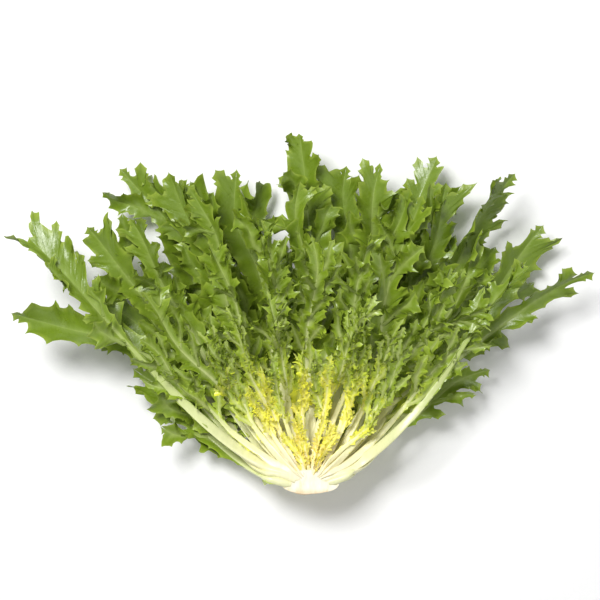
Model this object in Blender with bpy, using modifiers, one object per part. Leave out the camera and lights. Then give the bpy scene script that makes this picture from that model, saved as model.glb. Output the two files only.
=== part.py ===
"""Half a head of curly endive, cut lengthwise through its core and lying on its outer leaves.

Metres, +Z up. The stem's axis runs along +Y, so the leaves fan out towards +Y and +-X, the flat
face of the cut core looks up, and the underside of the outer leaves lies at Z = 0. The leaves
sit in seven nested whorls. Each whorl is one smooth surface and each leaf is a patch of it, so
that the leaves of a whorl stand side by side and the whorls lie over each other.
"""

import math
import random

import bmesh
import bpy
from mathutils import Vector

# --- The stem -------------------------------------------------------------------------------
AXIS_HEIGHT = 0.038  # the stem's axis, and so the cut face, above the surface
CORE_RADIUS = 0.022
CORE_DOME = 0.009  # height of the dome that carries the leaves
CORE_STEPS = 7  # profile points on the dome
CORE_SIDES = 28
BUTT_LENGTH = 0.005  # the cut foot of the stem, behind the dome
BUTT_RADIUS = 0.017
BUTT_CHAMFER = 0.2  # share of the foot's length and radius

# --- What all whorls share ------------------------------------------------------------------
ROOT_GAP = 0.0006  # between a leaf's foot and the dome
ROOT_LENGTH = 0.028  # over this a leaf turns from the stem's own direction into the fan
OUTERMOST_TURN = 0.93  # where round the core the first and last leaf stand; 1 is the cut plane
SIDE_LIFT = 0.45  # share of its depth that a whorl loses towards the cut plane
FLAT_SHARE = 0.62  # middle share of a whorl that has its full depth
LEVEL_FROM = 1.1  # past this share of a whorl's reach its leaves are level again

# --- What all leaves share ------------------------------------------------------------------
SIDE_GAP = 0.0010  # between two leaves of one whorl
STATION_STEP = 0.0105  # spacing of a leaf's cross-sections, and so half that of its teeth
FEWEST_STATIONS = 6
TOOTH_SWEEP = 0.0075  # how far a tooth points forwards
TOOTH_SPREAD = (0.85, 1.05)  # least and most of a tooth's reach sideways, over the blade's
SINUS_SHARE = 0.4  # width between two teeth over the width at a tooth
STALK_SHARE = 0.26  # of a leaf's length, bare of teeth
STALK_TAPER = 0.4  # share of its width that a stalk loses on its way to the blade
TAPERED_BY = 0.4  # share of a leaf's length
BLADE_GROWTH = (0.16, 0.66)  # shares of a leaf's length between which its blade widens
ROUND_SHARE = 0.28  # last share of a leaf, where its outline closes to the tip
THIN_SHARE = 0.6  # of a leaf's length, over which it thins from its foot
BLADE_THICKNESS = 0.0014
TIP_HALF = 0.0015  # half width at the very tip


def mm(*points):
    return [(x / 1000, y / 1000) for x, y in points]


# Each whorl: name, radius of its feet on the core, half angle of its fan in degrees, depth below
# the axis, rise towards its tips, share of its reach where the rise starts, half width of its
# blades, thickness at the foot, and where each leaf's tip lies, seen from above, from the core.
WHORLS = [
    ("outer", 0.0210, 62, 0.0380, 0.016, 0.62, 0.021, 0.0024,
     mm((-107, 66), (-128, 112), (-111, 185), (-40, 185), (11, 200), (64, 196), (146, 144),
        (111, 60))),
    ("second", 0.0180, 66, 0.0310, 0.022, 0.45, 0.019, 0.0022,
     mm((-174, 78), (-132, 130), (-96, 191), (-60, 184), (-15, 204), (27, 191), (85, 189),
        (132, 173), (166, 118))),
    ("third", 0.0150, 57, 0.0245, 0.027, 0.42, 0.017, 0.0020,
     mm((-168, 157), (-104, 148), (-76, 172), (-38, 176), (4, 178), (44, 178), (76, 166),
        (100, 150), (126, 132))),
    ("fourth", 0.0120, 49, 0.0180, 0.030, 0.42, 0.015, 0.0020,
     mm((-95, 90), (-86, 122), (-56, 142), (-26, 150), (6, 146), (34, 148), (62, 138),
        (90, 118), (104, 90))),
    ("fifth", 0.0090, 41, 0.0120, 0.031, 0.42, 0.0125, 0.0019,
     mm((-62, 78), (-54, 98), (-36, 110), (-16, 116), (4, 112), (24, 116), (42, 108),
        (58, 96), (68, 76))),
    ("inner", 0.0066, 34, 0.0065, 0.028, 0.42, 0.0095, 0.0018,
     mm((-42, 62), (-32, 76), (-20, 84), (-6, 86), (8, 84), (20, 84), (32, 76), (42, 60))),
    ("heart", 0.0037, 26, 0.0015, 0.018, 0.42, 0.0065, 0.0011,
     mm((-20, 44), (-13, 54), (-4, 60), (5, 58), (13, 52), (20, 42))),
]
COLOURS = {
    "outer": (0.140, 0.225, 0.040),
    "second": (0.165, 0.265, 0.045),
    "third": (0.200, 0.310, 0.050),
    "fourth": (0.265, 0.385, 0.055),
    "fifth": (0.380, 0.480, 0.065),
    "inner": (0.640, 0.620, 0.090),
    "heart": (0.850, 0.660, 0.110),
    "core": (0.860, 0.800, 0.620),
}


def smooth_step(x):
    x = min(max(x, 0.0), 1.0)
    return x * x * (3 - 2 * x)


def dome_height(radius):
    return CORE_DOME * math.sqrt(max(0.0, 1 - (radius / CORE_RADIUS) ** 2))


def dome_lean(radius):
    """Angle between the dome's normal and the stem's axis."""
    share = radius / CORE_RADIUS
    return math.atan(CORE_DOME / CORE_RADIUS * share / math.sqrt(1 - share**2))


class Whorl:
    def __init__(self, name, foot_radius, fan, depth, rise, rise_from, blade, foot_thickness, tips):
        self.name = name
        self.foot_radius = foot_radius
        self.foot_y = dome_height(foot_radius) + ROOT_GAP
        self.lean = dome_lean(foot_radius)
        self.fan = math.radians(fan)
        self.depth = depth
        self.rise = rise
        self.blade = blade
        self.foot_thickness = foot_thickness
        self.step = 2 * OUTERMOST_TURN / (len(tips) - 1)
        self.feet = [-OUTERMOST_TURN + index * self.step for index in range(len(tips))]
        self.tips, self.lengths = zip(*(self.turn_and_length(*tip) for tip in tips))
        self.reach = sum(self.lengths) / len(tips)
        self.rise_from = rise_from * self.reach

    def turn_and_length(self, x, y):
        """Where round the core, and how far from its foot, a leaf's tip at (x, y) stands. The
        foot depends on the turn, so the turn is found by repetition."""
        turn = 0.0
        for _ in range(30):
            across = x - self.foot_radius * math.sin(turn * math.pi / 2)
            turn = math.atan2(across, y - self.foot_y) / self.fan
        return turn, math.hypot(across, y - self.foot_y)

    def point(self, turn, along):
        """A point of the whorl's surface. turn is -1 to 1 round the core, from one side of the
        cut plane to the other, and along is the distance from the foot."""
        round_core = turn * math.pi / 2
        outward = Vector((math.sin(round_core), 0, -math.cos(round_core)))
        foot = outward * self.foot_radius + Vector((0, self.foot_y, AXIS_HEIGHT))
        first_way = math.sin(self.lean) * outward + math.cos(self.lean) * Vector((0, 1, 0))
        near = foot + along * first_way
        heading = self.fan * turn
        far = Vector((foot.x + along * math.sin(heading), foot.y + along * math.cos(heading), 0))
        side = smooth_step((abs(turn) - FLAT_SHARE) / (1 - FLAT_SHARE))
        climb = smooth_step((along - self.rise_from) / (self.reach * LEVEL_FROM - self.rise_from))
        far.z = AXIS_HEIGHT - self.depth * (1 - SIDE_LIFT * side) + self.rise * climb
        return near.lerp(far, smooth_step(along / ROOT_LENGTH))

    def metres_per_turn(self, turn, along):
        step = 0.01
        return (self.point(turn + step, along) - self.point(turn - step, along)).length / (2 * step)

    def middle(self, index, along):
        """Where round the core a leaf's rib is, this far from its foot."""
        share = smooth_step(along / self.lengths[index])
        return self.feet[index] * (1 - share) + self.tips[index] * share

    def room(self, index, side, along):
        """Turn between a leaf's rib and the edge of its own strip of the whorl."""
        neighbour = index + side
        if 0 <= neighbour < len(self.feet):
            return abs(self.middle(neighbour, along) - self.middle(index, along)) / 2
        return self.step / 2

    def half_width(self, share):
        """Half the leaf's width at its teeth, where it isn't held in by its neighbours."""
        taper = 1 - STALK_TAPER * smooth_step(share / TAPERED_BY)
        stalk = self.foot_radius * math.pi / 4 * self.step * taper
        start, end = BLADE_GROWTH
        blade = self.blade * smooth_step((share - start) / (end - start))
        past = max(0.0, (share - 1 + ROUND_SHARE) / ROUND_SHARE)
        return max(max(stalk, blade) * math.sqrt(max(0.0, 1 - past**2)), TIP_HALF)


def object_from(bm, name, material):
    mesh = bpy.data.meshes.new(name)
    bm.to_mesh(mesh)
    bm.free()
    mesh.shade_smooth()
    mesh.materials.append(material)
    return bpy.data.objects.new(name, mesh)


def plain_material(name, colour, roughness=0.42):
    material = bpy.data.materials.new(name)
    material.use_nodes = True
    shader = material.node_tree.nodes["Principled BSDF"]
    shader.inputs["Base Color"].default_value = (*colour, 1)
    shader.inputs["Roughness"].default_value = roughness
    return material


def leaf(whorl, index, material, chance):
    """One leaf: a patch of its whorl's surface, thickened upwards. Its teeth point forwards and
    stand in turn on the left and on the right."""
    length = whorl.lengths[index]
    stations = max(FEWEST_STATIONS, round(length / STATION_STEP))
    first_side = chance.choice((0, 1))
    bm = bmesh.new()
    bmesh.ops.create_grid(bm, x_segments=2, y_segments=stations, size=1)
    thickness = []
    for vertex in bm.verts:
        side = round(vertex.co.x)
        row = round((vertex.co.y + 1) / 2 * stations)
        share = row / stations
        along = share * length
        half = whorl.half_width(share)
        toothed = side and share > STALK_SHARE and 0 < row < stations
        if toothed and (row + first_side + (side > 0)) % 2:
            half = max(half * SINUS_SHARE, TIP_HALF)
        elif toothed:
            half *= chance.uniform(*TOOTH_SPREAD)
            along = min(along + TOOTH_SWEEP, length)
        middle = whorl.middle(index, along)
        surface = whorl.metres_per_turn(middle, along)
        half = min(half, whorl.room(index, side, along) * surface - SIDE_GAP / 2)
        vertex.co = whorl.point(middle + side * half / surface, along)
        thinned = smooth_step(share / THIN_SHARE)
        thickness.append(whorl.foot_thickness * (1 - thinned) + BLADE_THICKNESS * thinned)
    obj = object_from(bm, f"{whorl.name}_leaf_{index + 1}", material)
    group = obj.vertex_groups.new(name="thickness")
    thickest = max(thickness)
    for number, value in enumerate(thickness):
        group.add([number], value / thickest, "REPLACE")
    solidify = obj.modifiers.new("Blade", "SOLIDIFY")
    solidify.thickness = thickest
    solidify.offset = 1
    solidify.vertex_group = group.name
    return obj


def core(material):
    """The stem: a shallow dome on a short foot, turned about +Y. The halving cuts it flat."""
    profile = [
        (0, -BUTT_LENGTH),
        (BUTT_RADIUS * (1 - BUTT_CHAMFER), -BUTT_LENGTH),
        (BUTT_RADIUS, -BUTT_LENGTH * (1 - BUTT_CHAMFER)),
    ]
    for step in range(CORE_STEPS):
        radius = CORE_RADIUS * math.cos(step / CORE_STEPS * math.pi / 2)
        profile.append((radius, dome_height(radius)))
    profile.append((0, CORE_DOME))
    bm = bmesh.new()
    corners = [bm.verts.new((radius, y, 0)) for radius, y in profile]
    for a, b in zip(corners, corners[1:]):
        bm.edges.new((a, b))
    obj = object_from(bm, "core", material)
    turned = obj.modifiers.new("Turned", "SCREW")
    turned.axis = "Y"
    turned.steps = CORE_SIDES
    turned.render_steps = CORE_SIDES
    turned.use_merge_vertices = True
    turned.merge_threshold = 0.00005
    obj.location.z = AXIS_HEIGHT
    return obj


def knife(material):
    """The half space above the axis, which the cut took away."""
    size = 4 * CORE_RADIUS
    bm = bmesh.new()
    bmesh.ops.create_cube(bm, size=size)
    cutter = object_from(bm, "knife", material)
    cutter.location.z = AXIS_HEIGHT + size / 2
    cutter.hide_render = True
    cutter.display_type = "WIRE"
    return cutter


def halve(stem, cutter):
    halving = stem.modifiers.new("Halving", "BOOLEAN")
    halving.object = cutter
    halving.operation = "DIFFERENCE"


def bottom_centre(objects):
    """The middle of the bottom of the objects' common box."""
    bpy.context.view_layer.update()
    graph = bpy.context.evaluated_depsgraph_get()
    corners = []
    for obj in objects:
        evaluated = obj.evaluated_get(graph)
        corners += [evaluated.matrix_world @ vertex.co for vertex in evaluated.data.vertices]
    low = Vector(min(corner[k] for corner in corners) for k in range(3))
    high = Vector(max(corner[k] for corner in corners) for k in range(3))
    return Vector(((low.x + high.x) / 2, (low.y + high.y) / 2, low.z))


def main():
    for obj in list(bpy.data.objects):
        bpy.data.objects.remove(obj, do_unlink=True)
    head = bpy.data.collections.new("curly_endive_half")
    cutters = bpy.data.collections.new("cutters")
    for collection in (head, cutters):
        bpy.context.scene.collection.children.link(collection)

    chance = random.Random(7)
    materials = {name: plain_material(name, colour) for name, colour in COLOURS.items()}
    stem = core(materials["core"])
    pieces = [stem]
    for spec in WHORLS:
        whorl = Whorl(*spec)
        for index in range(len(whorl.lengths)):
            pieces.append(leaf(whorl, index, materials[whorl.name], chance))
    for piece in pieces:
        head.objects.link(piece)
    cutter = knife(materials["core"])
    cutters.objects.link(cutter)
    halve(stem, cutter)

    # Everything hangs on one empty at the crown, which puts the box's bottom centre at the origin.
    crown = bpy.data.objects.new("crown", None)
    head.objects.link(crown)
    middle = bottom_centre(pieces)
    for obj in (*pieces, cutter):
        obj.parent = crown
    crown.location = -middle


main()
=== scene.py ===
"""The looks of half a curly endive head: frilly leaves on its CAD leaves, the cut core, light and camera."""

import math
from types import SimpleNamespace

import bpy
import numpy as np
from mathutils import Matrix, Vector


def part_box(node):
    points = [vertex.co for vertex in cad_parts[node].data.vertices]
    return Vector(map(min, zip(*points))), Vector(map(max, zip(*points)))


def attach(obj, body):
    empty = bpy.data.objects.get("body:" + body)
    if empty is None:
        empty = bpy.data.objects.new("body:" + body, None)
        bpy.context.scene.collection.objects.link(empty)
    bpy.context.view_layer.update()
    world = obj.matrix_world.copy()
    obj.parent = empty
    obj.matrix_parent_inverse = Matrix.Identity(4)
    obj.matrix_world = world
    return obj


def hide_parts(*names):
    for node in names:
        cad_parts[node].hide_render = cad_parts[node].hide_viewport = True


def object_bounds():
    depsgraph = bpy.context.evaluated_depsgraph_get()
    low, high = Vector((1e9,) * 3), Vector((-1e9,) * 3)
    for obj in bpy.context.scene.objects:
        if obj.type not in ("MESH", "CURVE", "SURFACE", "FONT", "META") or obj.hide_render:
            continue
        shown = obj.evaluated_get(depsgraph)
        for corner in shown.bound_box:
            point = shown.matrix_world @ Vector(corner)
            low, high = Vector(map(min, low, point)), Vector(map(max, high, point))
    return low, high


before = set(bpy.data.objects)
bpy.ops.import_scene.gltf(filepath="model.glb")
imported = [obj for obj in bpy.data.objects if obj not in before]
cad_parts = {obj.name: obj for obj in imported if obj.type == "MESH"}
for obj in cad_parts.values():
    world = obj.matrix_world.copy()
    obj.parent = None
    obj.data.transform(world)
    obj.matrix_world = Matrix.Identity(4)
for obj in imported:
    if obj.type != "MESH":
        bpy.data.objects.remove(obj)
cad_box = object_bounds()
scene = bpy.context.scene

MM = 0.001
UP = np.array([0.0, 0.0, 1.0])

# ---- what the leaves are like

WHORLS = ("outer", "second", "third", "fourth", "fifth", "inner", "heart")

# What the leaves of each whorl are like, first their lengths in millimetres.
SIZES = {
    "rib": (4.2, 3.9, 3.6, 3.0, 2.5, 2.0, 1.0),  # half the rib's width at its foot
    "rib_tip": (0.35, 0.35, 0.3, 0.3, 0.25, 0.2, 0.18),  # and at its tip
    "wing": (7.5, 6.8, 4.6, 3.0, 1.5, 1.0, 0.6),  # the blade's half width
    "tooth": (2.4, 2.4, 2.2, 2.0, 1.5, 1.3, 1.0),  # how far a short lobe stands out of it
    "finger": (9.0, 9.5, 9.5, 7.5, 5.0, 4.0, 2.7),  # and a long one
    "gap": (15.0, 14.0, 12.5, 9.0, 6.0, 4.0, 2.6),  # from one long lobe to the next
    "neck": (2.8, 2.6, 2.0, 1.4, 0.8, 0.5, 0.35),  # half a lobe's width
    "spur": (3.0, 3.0, 2.8, 2.2, 1.6, 1.2, 0.8),  # how far a long lobe's side teeth stand out
    "ruffle": (2.8, 2.8, 2.4, 1.8, 1.4, 1.0, 0.8),  # height of the blade's waves
    "twig": (56.0, 52.0, 42.0, 36.0, 28.0, 17.0, 9.0),  # length of the side leaves
}
# Then shares, counts and angles in radians.
TRAITS = {
    "bare": (0.2, 0.24, 0.32, 0.44, 0.44, 0.42, 0.04),  # share of the leaf below the blade
    "flare": (1.0, 1.0, 0.6, 0.4, 0.3, 0.3, 0.2),  # how much the rib's foot widens round the core
    "fingers": (0.26, 0.3, 0.42, 0.5, 0.5, 0.5, 0.5),  # share of the long lobes
    "teeth": (2, 2, 2, 2, 1, 1, 1),  # side teeth on each side of one
    # how far all lobes bend up, and how much that varies
    "curl": ((0.1, 0.6), (0.2, 0.8), (0.4, 1.0), (0.6, 1.2), (0.8, 1.4), (0.9, 1.5), (1.0, 1.5)),
    "lift": (0.35, 0.45, 0.5, 0.5, 0.5, 0.5, 0.5),  # how far lobes stand up or down,
    "twist": (0.6, 0.9, 1.1, 1.2, 1.3, 1.4, 1.4),  # and turn
    "fold": (0.3, 0.35, 0.45, 0.5, 0.55, 0.5, 0.5),  # how far the blade's halves stand up from the rib
    "face_up": (0.85, 0.8, 0.7, 0.6, 0.5, 0.35, 0.2),  # how far the leaf turns to face upwards,
    "roll": (0.9, 1.2, 1.7, 1.8, 1.8, 1.6, 1.4),  # and then to and fro
    "sway": (0.05, 0.06, 0.1, 0.09, 0.05, 0.05, 0.05),  # how far it swings sideways
    "stray": (0.02, 0.03, 0.1, 0.13, 0.13, 0.1, 0.1),  # how far its tip strays round the crown
    # the next trait is partly the outer whorls' real deeper green and partly painted shade on these lower
    # leaves, which the inner ones cover
    "ripen": (0.25, 0.15, 0.06, 0, 0, 0, 0),  # how much greener than its place makes it
    # points between keys of the margin and steps across the blade, then those of a side leaf
    "sides": ((3, 4), (3, 4), (3, 4), (3, 3), (2, 3), (2, 3), (2, 3)),
    "twig_sides": ((2, 3), (2, 3), (2, 3), (2, 3), (2, 2), (2, 2), (2, 2)),
    "twigs": (8, 8, 7, 9, 11, 11, 13),  # how many side leaves
    # how far these turn away from the rib, and up
    "spread": ((0.5, 1.0), (0.4, 0.9), (0.35, 0.9), (0.3, 0.8), (0.25, 0.55), (0.2, 0.5), (0.2, 0.5)),
    "pitch": ((-0.25, 0.3), (-0.2, 0.4), (-0.1, 0.6), (-0.1, 0.6), (-0.15, 0.45), (-0.2, 0.3), (-0.2, 0.3)),
}
STYLES = {}
for column, whorl in enumerate(WHORLS):
    STYLES[whorl] = SimpleNamespace(
        **{name: row[column] * MM for name, row in SIZES.items()},
        **{name: row[column] for name, row in TRAITS.items()},
    )

# Share of its CAD leaf's length that a leaf of a whorl takes up, where it isn't all of it.
REACH = {"heart": 0.68, "inner": 0.92}

# What sets single leaves apart. Besides a style's values there are
# reach: the share of its CAD leaf's length; aim: its turn round the crown, anticlockwise from above
# bow: how far it bows away from the fan near its foot, instead of BOW
# bend: how far its middle bends towards the fan; rise: how far its middle arches up
OWN = {
    "outer_leaf_1": dict(
        rib=4.6 * MM, wing=5.5 * MM, fingers=0.5, finger=12.0 * MM, gap=16.0 * MM, twigs=3, aim=-0.03,
        bow=5.0 * MM,
    ),
    "outer_leaf_2": dict(wing=8.5 * MM, twigs=8),
    "outer_leaf_4": dict(wing=10.5 * MM, twigs=11, aim=0.03),
    "outer_leaf_5": dict(aim=-0.07, reach=0.94),
    "outer_leaf_6": dict(wing=6.0 * MM, fingers=0.5, finger=11.0 * MM, aim=-0.035),
    "outer_leaf_7": dict(bare=0.5, wing=11.0 * MM, fingers=0.25, twigs=3, aim=0.05, bow=4.0 * MM),
    "outer_leaf_8": dict(
        bare=0.4, rib=4.4 * MM, wing=3.4 * MM, fingers=0.4, finger=9.0 * MM, gap=15.0 * MM, twigs=2, aim=0.1,
        bow=-2.0 * MM,
    ),
    "second_leaf_1": dict(
        bare=0.5, flare=1.9, wing=11.5 * MM, fingers=0.12, finger=8.0 * MM, gap=22.0 * MM, twigs=1,
        aim=-0.085, reach=1.05, bend=20.0 * MM,
    ),
    "second_leaf_2": dict(aim=-0.05, reach=1.07),
    "second_leaf_3": dict(aim=-0.065, reach=0.94),
    "second_leaf_4": dict(twigs=10, aim=0.07),
    "second_leaf_5": dict(wing=10.0 * MM, fingers=0.3, finger=7.0 * MM, aim=-0.045),
    "second_leaf_6": dict(aim=-0.05),
    "second_leaf_7": dict(wing=7.5 * MM, fingers=0.55, finger=11.5 * MM, aim=0.01, reach=0.94),
    "second_leaf_8": dict(bare=0.45, wing=10.0 * MM, twigs=5, aim=0.05, bend=10.0 * MM),
    "second_leaf_9": dict(bare=0.55, wing=5.0 * MM, twigs=0, reach=1.02, bend=24.0 * MM),
    "third_leaf_1": dict(
        bare=0.6, rib=4.8 * MM, wing=10.0 * MM, fingers=0.5, finger=8.5 * MM, twigs=3, sway=0.02, stray=0.0,
        aim=0.02, reach=0.94, rise=12.0 * MM,
    ),
    "third_leaf_2": dict(wing=6.0 * MM, aim=-0.055, reach=1.04),
    "third_leaf_4": dict(aim=-0.07),
    "third_leaf_5": dict(aim=0.05),
    "third_leaf_8": dict(aim=0.09),
    "third_leaf_9": dict(
        bare=0.72, rib=4.2 * MM, twigs=2, sway=0.015, stray=0.0, bend=3.0 * MM, rise=20.0 * MM
    ),
    "fourth_leaf_4": dict(aim=-0.035, reach=1.04),
    "fourth_leaf_9": dict(bare=0.5),
}


def whorl_of(node):
    """The whorl of a leaf node."""
    return node.split("_")[0]


# ---- lines in space


def step(low, high, value):
    """0 below low, 1 above high and a smooth climb between."""
    t = np.clip((value - low) / (high - low), 0.0, 1.0)
    return t * t * (3 - 2 * t)


def unit(vectors):
    """The vectors at length 1."""
    return vectors / np.maximum(np.linalg.norm(vectors, axis=-1, keepdims=True), 1e-9)


VARIES = 0.6  # standard deviation of what varies from leaf to leaf or lobe to lobe
WAVES = 4  # in a random function, with the ranges of their lengths and sizes
WAVE_LENGTHS, WAVE_SIZES = (1.0, 2.6), (0.5, 1.0)


def waves(rng, shortest):
    """A smooth random function of place, within about -1 to 1, whose waves aren't shorter than shortest."""
    lengths = shortest * rng.uniform(*WAVE_LENGTHS, WAVES)
    phases = rng.uniform(0, 2 * math.pi, WAVES)
    sizes = rng.uniform(*WAVE_SIZES, WAVES)

    def value(x):
        x = np.asarray(x, float)
        return sum(
            size * np.sin(2 * math.pi * x / length + phase)
            for size, length, phase in zip(sizes, lengths, phases)
        ) / (sum(WAVE_SIZES) / 2 * WAVES)

    return value


def squared(along, side):
    """side made square to along at each station, and the face direction out of both."""
    side = unit(side - along * (side * along).sum(1, keepdims=True))
    return side, np.cross(side, along)


def rolled(side, face, turn):
    """The two directions turned round the third by an angle at each station."""
    turn = turn[:, None]
    return side * np.cos(turn) + face * np.sin(turn), face * np.cos(turn) - side * np.sin(turn)


class Spine:
    """A middle line with the directions along it, across it and out of its upper face."""

    def __init__(self, path, side, turn):
        self.path = path
        self.along = unit(np.gradient(path, axis=0))
        side, face = squared(self.along, side)
        self.side, self.face = rolled(side, face, turn)
        steps = np.linalg.norm(np.diff(path, axis=0), axis=1)
        self.gone = np.concatenate([[0], np.cumsum(steps)])
        self.length = self.gone[-1]

    def at(self, place):
        """The point and the three directions at a distance along the spine."""
        point, along, side, face = (
            np.stack([np.interp(place, self.gone, axis) for axis in table.T], -1)
            for table in (self.path, self.along, self.side, self.face)
        )
        return point, unit(along), unit(side), unit(face)


# ---- a leaf's spine

SLICES = 24
SLICE_EDGE = 0.01  # share of a CAD leaf's span at either end where it isn't sliced


def slices(node, crown):
    """A CAD leaf cut at growing distances from the crown: shares of its span, middles, directions across."""
    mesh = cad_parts[node].data
    points = np.array([v.co for v in mesh.vertices])
    ends = np.array([e.vertices for e in mesh.edges])
    far = np.linalg.norm(points - crown, axis=1)
    span = far.max() - far.min()
    a, b = far[ends[:, 0]], far[ends[:, 1]]
    radii = np.linspace(far.min() + SLICE_EDGE * span, far.max() - SLICE_EDGE * span, SLICES)
    middles, across = [], []
    for radius in radii:
        cut = (a - radius) * (b - radius) < 0
        share = ((radius - a[cut]) / (b[cut] - a[cut]))[:, None]
        found = points[ends[cut, 0]] * (1 - share) + points[ends[cut, 1]] * share
        apart = np.linalg.norm(found[:, None] - found[None], axis=2)
        i, j = np.unravel_index(apart.argmax(), apart.shape)
        side = found[j] - found[i]
        middles.append((found[i] + found[j]) / 2)
        across.append(unit(side if side[0] > 0 else -side))
    return (radii - far.min()) / span, np.array(middles), np.array(across)


def smooth_fit(shares, rows, degree, at):
    """Rows known at some shares, fitted with a polynomial and read at others."""
    return np.stack([np.polyval(np.polyfit(shares, column, degree), at) for column in rows.T], 1)


BOW = 8.5 * MM  # how far a leaf at the flank bows away from the fan,
BOW_AT = 30 * MM  # how far from its foot it bows most,
BOW_FROM = 80 * MM  # the length from which it does so in full,
BOW_FOOT, BOW_FLANK = 0.12, 0.6  # how far on the bow is at the foot, and how it fades to the middle


def bowed(path, at, length, most):
    """How far each station moves away from the fan, and the unit vector that points away from it."""
    heading = unit((path[-1] - path[0])[None] * (1, 1, 0))[0]
    away = np.array([math.copysign(heading[1], heading[0]), -abs(heading[0]), 0.0])
    grown_up = min(1.0, length / BOW_FROM)
    gone = np.clip(at, 0, 1) * length / (BOW_AT * grown_up)
    return most * grown_up * abs(heading[0]) ** BOW_FLANK * (gone + BOW_FOOT) * np.exp(1 - gone), away


def swung(path, crown, turn):
    """The path turned round the crown, seen from above, by an angle at each station."""
    cos, sin = np.cos(turn), np.sin(turn)
    x, y = path[:, 0] - crown[0], path[:, 1] - crown[1]
    path[:, 0], path[:, 1] = crown[0] + x * cos - y * sin, crown[1] + x * sin + y * cos
    return path


ROOTED = 0.45  # share of the way to the crown that a leaf's foot goes into the core
ROOT_MIDDLE = 3 * MM  # how far up the fan from the crown a foot in the middle is aimed,
ROOT_DROP = 5 * MM  # how much less far one at the side is,
ROOT_SIDE = 21 * MM  # and how far out the side is
ROOT_STATIONS = 5
SMOOTHED, SMOOTH_ROUNDS = 14, 8  # stations at the foot that are smoothed, and how often


def rooted(path, side, turn, crown):
    """The spine's path, side and turn with a root into the core in front of them."""
    ahead = ROOT_MIDDLE - ROOT_DROP * min(1.0, abs(path[0, 0] - crown[0]) / ROOT_SIDE)
    root = path[0] + (crown + (0, ahead, 0) - path[0]) * ROOTED
    shares = np.linspace(0, 1 - 1 / ROOT_STATIONS, ROOT_STATIONS)[:, None]
    path = np.concatenate([root + (path[0] - root) * shares, path])
    side = np.concatenate([np.repeat(side[:1], ROOT_STATIONS, axis=0), side])
    turn = np.concatenate([np.zeros(ROOT_STATIONS), turn])
    for _ in range(SMOOTH_ROUNDS):
        before, after = path[: SMOOTHED - 1], path[2 : SMOOTHED + 1]
        path[1:SMOOTHED] = (before + 2 * path[1:SMOOTHED] + after) / 4
    return path, side, turn


STATIONS = 90
FOOT_AT = -0.01  # the share of its CAD leaf's span at which a spine starts
PATH_DEGREE, SIDE_DEGREE = 4, 2  # of the polynomials through the slices' middles and directions
SWAY_WAVES, HEAVE_WAVES, ROLL_WAVES = 0.4, 0.35, 0.5  # shortest waves, as shares of the leaf
HEAVE = 0.035  # how far a leaf waves up and down, as a share of its length
SWUNG_BY = 0.6  # share by which it has turned round the crown in full
FACED_UP, ROLL_FROM = (0.1, 0.7), 0.2  # shares where it turns to face up, and to and fro
RISE_START, RISE_END = (0.05, 0.3), (0.65, 1.0)  # shares where a raised middle climbs and sinks


def node_spine(node, crown, style, rng):
    """A CAD leaf's middle line, with a sway, bow, bend and turn of its own and a root into the core."""
    own = OWN.get(node, {})
    shares, middles, across = slices(node, crown)
    at = np.linspace(FOOT_AT, own.get("reach", REACH.get(whorl_of(node), 1.0)), STATIONS)
    path = smooth_fit(shares, middles, PATH_DEGREE, at)
    side = smooth_fit(shares, across, SIDE_DEGREE, at)
    length = np.linalg.norm(np.diff(path, axis=0), axis=1).sum()
    share = np.clip(at, 0, 1)
    grown = (share**1.5 * (1 - 0.65 * share**4))[:, None]
    sway, heave = waves(rng, SWAY_WAVES), waves(rng, HEAVE_WAVES)
    path = path + unit(side) * grown * sway(at)[:, None] * own.get("sway", style.sway) * length
    path = path + UP * grown * heave(at)[:, None] * HEAVE * length
    bow, away = bowed(path, at, length, own.get("bow", BOW))
    path = path + away * bow[:, None]
    path = path - away * (4 * own.get("bend", 0.0) * share**1.3 * (1 - share))[:, None]
    risen = own.get("rise", 0.0) * step(*RISE_START, at) * (1 - step(*RISE_END, at))
    path = path + UP * risen[:, None]
    strayed = rng.normal(0, VARIES) * own.get("stray", style.stray) + own.get("aim", 0.0)
    path = swung(path, crown, strayed * step(0.0, SWUNG_BY, at))
    flat = unit(np.cross(unit(np.gradient(path, axis=0)), UP))
    turned = step(*FACED_UP, at)[:, None] * style.face_up
    side = unit(side) * (1 - turned) + flat * turned
    turn = waves(rng, ROLL_WAVES)(at) * step(ROLL_FROM, 1.0, at) * style.roll
    return Spine(*rooted(path, side, turn, crown))


TWIG_STATIONS = 36
TWIG_WAVES = 0.5  # a twig's shortest waves, as a share of its length
TWIG_BACK = (0.2, 1.2)  # how much of its turn away from the rib a twig loses by its tip
TWIG_SWAY, TWIG_HEAVE, TWIG_ROLL = 0.7, 0.5, 1.6  # how far it turns sideways, up and down, and rolls
TWIG_CLIMB = (-0.3, 0.9)  # how far it has turned up by its tip


def twig_spine(spine, style, place, side, long, rng):
    """The spine of a twig that leaves a rib at a place, on one side, and turns forwards and up."""
    point, along, across, face = (v[0] for v in spine.at(np.array([place])))
    t = np.linspace(0, 1, TWIG_STATIONS)
    sway, heave = waves(rng, TWIG_WAVES), waves(rng, TWIG_WAVES)
    yaw = rng.uniform(*style.spread) * (1 - rng.uniform(*TWIG_BACK) * t) + TWIG_SWAY * sway(t) * t
    pitch = rng.uniform(*style.pitch) + rng.uniform(*TWIG_CLIMB) * t**2 + TWIG_HEAVE * heave(t) * t
    yaw, pitch = yaw[:, None], pitch[:, None]
    ahead = np.cos(yaw) * along + np.sin(yaw) * across * side
    heading = np.cos(pitch) * ahead + np.sin(pitch) * face
    gone = np.concatenate([np.zeros((1, 3)), np.cumsum(heading[1:], axis=0)])
    beside = np.cos(yaw) * across - np.sin(yaw) * along * side
    path = point + gone * long / (TWIG_STATIONS - 1)
    return Spine(path, beside, waves(rng, TWIG_WAVES)(t) * t * TWIG_ROLL)


# ---- a leaf's margin, laid out flat

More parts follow.
